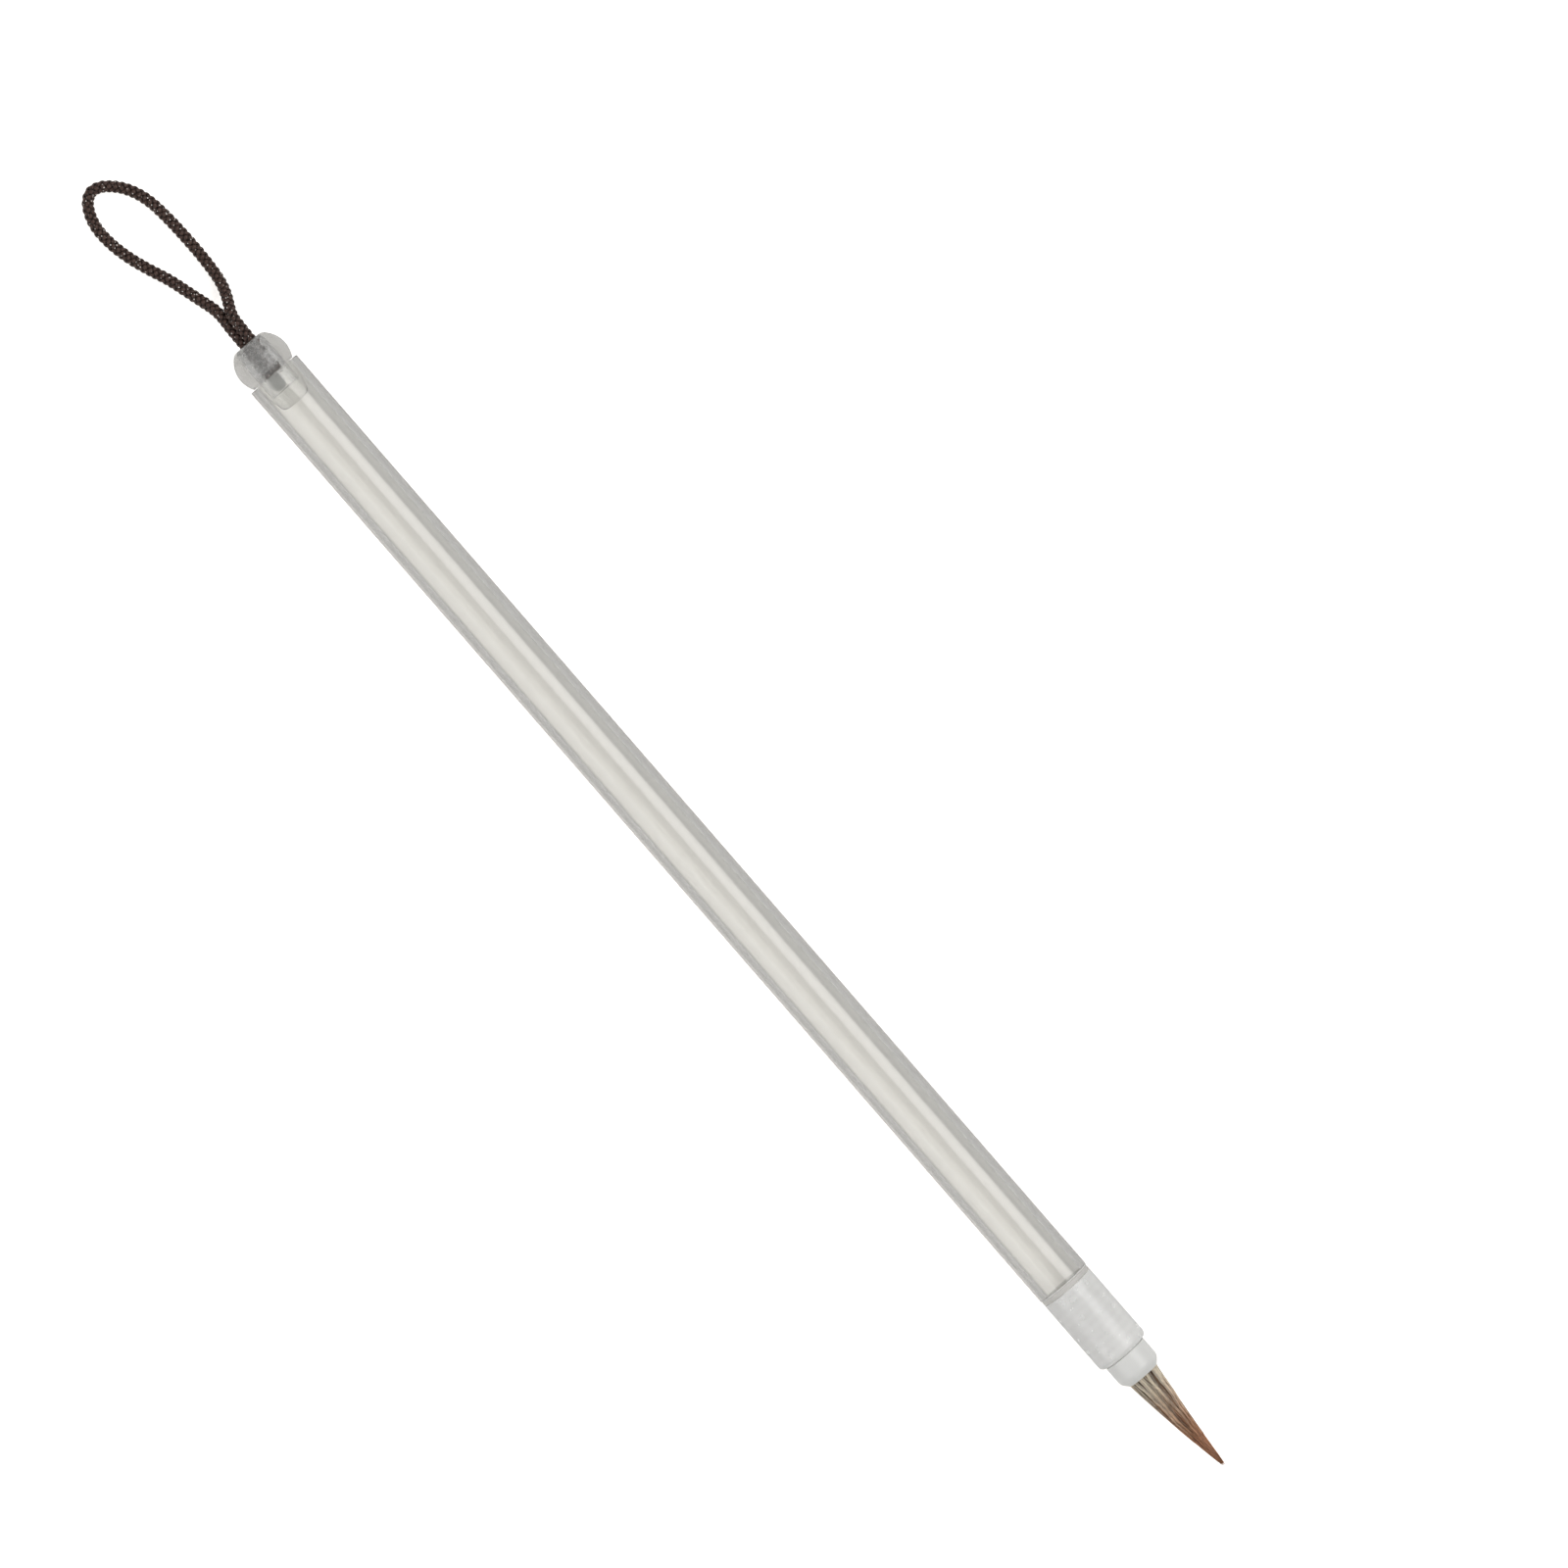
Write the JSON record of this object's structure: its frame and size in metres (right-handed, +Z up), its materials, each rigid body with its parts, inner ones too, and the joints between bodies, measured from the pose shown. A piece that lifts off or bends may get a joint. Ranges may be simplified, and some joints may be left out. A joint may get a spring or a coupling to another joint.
{
  "type": "brush pen",
  "caption": "Refillable brush pen: clear hollow barrel, screw-on milky sleeve and white cup holding a pointed hair tuft, and a ball tail plug that pulls out on a braided hanging loop.",
  "frame": {"origin": "centre of the pen's length on the surface it lies on, below the barrel's axis, the free cord loop not counted", "axes": "+X along the barrel towards the tip of the hair, +Z up from the flat under the barrel, +Y across; the cord loop lies at -X"},
  "size_m": [0.2837, 0.0122, 0.0099],
  "materials": {
    "clear_plastic": "clear moulded, slightly milky",
    "milky_plastic": "translucent satin",
    "white_plastic": "white satin",
    "seal_rubber": "soft grey",
    "wick_fibre": "bonded fibre",
    "resin": "set adhesive",
    "binding_thread": "twisted thread",
    "core_hair": "brown animal hair",
    "cover_hair": "taupe animal hair",
    "cord_nylon": "dark brown braid"
  },
  "bodies": {
    "barrel": {"barrel": "clear_plastic", "feed_plug": "white_plastic", "feed_wick": "wick_fibre"},
    "neck_seal": {"neck_seal": "seal_rubber"},
    "brush_head": {"head_sleeve": "milky_plastic", "hair_cup": "white_plastic", "root_resin": "resin", "root_binding": "binding_thread", "tuft_core": "core_hair", "tuft_cover": "cover_hair"},
    "tail_plug": {"tail_plug": "clear_plastic", "cord_end_bead": "cord_nylon", "hang_cord": "cord_nylon"}
  },
  "joints": [
    {"name": "head_unscrew", "type": "hinge", "parent": "barrel", "child": "neck_seal", "pos_m": [0.0832, 0, 0.00496], "axis": [1, 0, 0], "range_deg": [0, 1800]},
    {"name": "head_travel", "type": "slide", "parent": "neck_seal", "child": "brush_head", "axis": [1, 0, 0], "range_m": [0, 0.007]},
    {"name": "plug_pull", "type": "slide", "parent": "barrel", "child": "tail_plug", "axis": [-1, 0, 0], "range_m": [0, 0.012]}
  ],
  "couplings": [
    {"joint": "head_unscrew", "follows": "head_travel", "rad_per_m": 4488}
  ]
}
